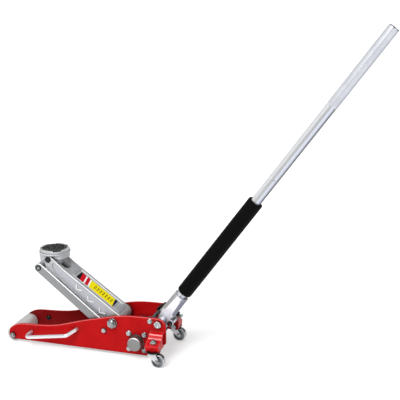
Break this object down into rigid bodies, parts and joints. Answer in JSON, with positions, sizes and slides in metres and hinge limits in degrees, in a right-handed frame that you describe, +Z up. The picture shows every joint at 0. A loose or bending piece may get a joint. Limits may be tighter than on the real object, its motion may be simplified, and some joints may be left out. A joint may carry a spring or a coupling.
{
  "type": "hydraulic trolley jack",
  "caption": "Low trolley jack with side plates, levelling lift arm, notched saddle with rubber pad, hydraulic ram and pump, two-piece handle, front roller and swivel casters.",
  "frame": {"origin": "middle of the standing area on the floor, below the middle of the overall length", "axes": "+X from the front roller back to the handle, +Y across to the right side, +Z up; stored with the arm raised and the handle leaning back, as pictured"},
  "size_m": [1.2204, 0.262, 1.0617],
  "materials": {
    "red_paint": "gloss",
    "bright_steel": "polished",
    "cast_aluminium": "cast satin",
    "link_steel": "satin",
    "socket_aluminium": "machined",
    "tube_aluminium": "satin, knurled upper part",
    "zinc_steel": "zinc plated",
    "black_steel": "black oxide",
    "hydraulic_steel": "machined",
    "ground_steel": "ground",
    "bush_brass": "satin",
    "caster_steel": "zinc plated",
    "saddle_steel": "cast, machined rim",
    "roller_steel": "satin",
    "pad_rubber": "moulded",
    "grip_foam": "foam"
  },
  "bodies": {
    "chassis": {"side_plate_left": "red_paint", "side_plate_right": "red_paint", "front_axle": "zinc_steel", "front_axle_nuts": "zinc_steel", "carry_handle_left": "bright_steel", "carry_handle_right": "bright_steel", "carry_handle_nuts": "zinc_steel", "lift_pivot_shaft": "zinc_steel", "lift_pivot_nuts": "zinc_steel", "link_pivot_pins": "zinc_steel", "link_spacers": "zinc_steel", "link_pivot_nuts": "zinc_steel", "hydraulic_base": "hydraulic_steel", "base_bolts": "zinc_steel", "ram_cylinder": "hydraulic_steel", "gland_nut": "hydraulic_steel", "socket_pivot_bolts": "zinc_steel", "pump_barrel": "black_steel", "cross_rod": "zinc_steel", "cross_rod_bolts": "zinc_steel", "caster_bracket_left": "red_paint", "caster_bracket_right": "red_paint", "caster_bracket_bolts": "zinc_steel", "caster_races": "black_steel", "caster_kingpins": "zinc_steel", "caster_nuts": "zinc_steel"},
    "front_roller": {"front_roller": "roller_steel"},
    "lift_arm": {"lift_arm": "cast_aluminium", "arm_bushes": "bush_brass", "crank_pin": "zinc_steel", "saddle_pivot_pins": "black_steel"},
    "links": {"link_left": "link_steel", "link_right": "link_steel"},
    "saddle_bracket": {"saddle_bracket": "cast_aluminium", "saddle_link_pin": "zinc_steel", "saddle_link_caps": "zinc_steel"},
    "saddle": {"saddle": "saddle_steel", "saddle_pad": "pad_rubber", "saddle_ring": "black_steel"},
    "ram": {"ram": "ground_steel"},
    "handle_socket": {"handle_socket": "socket_aluminium", "lock_bolt": "zinc_steel", "lock_nut": "black_steel", "pump_pin": "zinc_steel", "pump_pin_clips": "black_steel"},
    "pump_roller": {"pump_roller": "ground_steel"},
    "handle": {"handle_lower_tube": "tube_aluminium", "handle_upper_tube": "tube_aluminium", "snap_button": "zinc_steel", "foam_grip": "grip_foam", "release_fork": "hydraulic_steel"},
    "release_valve": {"release_valve": "hydraulic_steel"},
    "pump_plunger": {"pump_plunger": "ground_steel"},
    "handle_spring": {"handle_spring": "black_steel"},
    "caster_left": {"caster_fork_left": "caster_steel", "caster_axle_left": "zinc_steel"},
    "caster_right": {"caster_fork_right": "caster_steel", "caster_axle_right": "zinc_steel"},
    "caster_wheel_left": {"caster_wheel_left": "caster_steel"},
    "caster_wheel_right": {"caster_wheel_right": "caster_steel"}
  },
  "joints": [
    {"name": "front_roller_spin", "type": "hinge", "parent": "chassis", "child": "front_roller", "pos_m": [-0.58472, 0, 0.0255], "axis": [0, 1, 0], "continuous": true},
    {"name": "lift_hinge", "type": "hinge", "parent": "chassis", "child": "lift_arm", "pos_m": [-0.22872, 0, 0.11], "axis": [0, 1, 0], "range_deg": [-42, 10.5]},
    {"name": "link_hinge", "type": "hinge", "parent": "chassis", "child": "links", "pos_m": [-0.25772, 0, 0.0826], "axis": [0, 1, 0], "range_deg": [-42.5, 11]},
    {"name": "saddle_level_hinge", "type": "hinge", "parent": "lift_arm", "child": "saddle_bracket", "pos_m": [-0.45803, 0, 0.2924], "axis": [0, 1, 0], "range_deg": [-11, 42.5]},
    {"name": "saddle_swivel", "type": "hinge", "parent": "saddle_bracket", "child": "saddle", "pos_m": [-0.45303, 0, 0.312], "axis": [0, 0, 1], "continuous": true},
    {"name": "ram_slide", "type": "slide", "parent": "chassis", "child": "ram", "axis": [-1, 0, 0], "range_m": [-0.02865, 0.00754]},
    {"name": "handle_hinge", "type": "hinge", "parent": "chassis", "child": "handle_socket", "pos_m": [-0.07472, 0, 0.124], "axis": [0, 1, 0], "range_deg": [-26, 39]},
    {"name": "pump_roller_spin", "type": "hinge", "parent": "handle_socket", "child": "pump_roller", "pos_m": [-0.05067, 0, 0.11174], "axis": [0, 1, 0], "continuous": true},
    {"name": "handle_twist", "type": "hinge", "parent": "handle_socket", "child": "handle", "pos_m": [-0.07472, 0, 0.124], "axis": [0.5864, 0, 0.81], "range_deg": [0, 270]},
    {"name": "release_valve_turn", "type": "hinge", "parent": "chassis", "child": "release_valve", "pos_m": [-0.07472, 0, 0.124], "axis": [0.8192, 0, 0.5736], "range_deg": [0, 270]},
    {"name": "pump_plunger_slide", "type": "slide", "parent": "chassis", "child": "pump_plunger", "axis": [-0.7193, 0, -0.6947], "range_m": [-0.01183, 0.0175]},
    {"name": "handle_spring_turn", "type": "hinge", "parent": "chassis", "child": "handle_spring", "pos_m": [-0.10132, 0, 0.1317], "axis": [0, 1, 0], "range_deg": [-17, 25.5]},
    {"name": "caster_swivel_left", "type": "hinge", "parent": "chassis", "child": "caster_left", "pos_m": [-0.07672, -0.108, 0.0445], "axis": [0, 0, 1], "continuous": true},
    {"name": "caster_swivel_right", "type": "hinge", "parent": "chassis", "child": "caster_right", "pos_m": [-0.07672, 0.108, 0.0445], "axis": [0, 0, 1], "continuous": true},
    {"name": "caster_wheel_spin_left", "type": "hinge", "parent": "caster_left", "child": "caster_wheel_left", "pos_m": [-0.06072, -0.108, 0.0215], "axis": [0, 1, 0], "continuous": true},
    {"name": "caster_wheel_spin_right", "type": "hinge", "parent": "caster_right", "child": "caster_wheel_right", "pos_m": [-0.06072, 0.108, 0.0215], "axis": [0, 1, 0], "continuous": true}
  ],
  "couplings": [
    {"joint": "link_hinge", "follows": "lift_hinge", "ratio": 1},
    {"joint": "saddle_level_hinge", "follows": "lift_hinge", "ratio": -1},
    {"joint": "ram_slide", "follows": "lift_hinge", "m_per_rad": 0.0384},
    {"joint": "pump_plunger_slide", "follows": "handle_hinge", "m_per_rad": 0.02497},
    {"joint": "handle_spring_turn", "follows": "handle_hinge", "ratio": 0.64},
    {"joint": "release_valve_turn", "follows": "handle_twist", "ratio": 1}
  ]
}
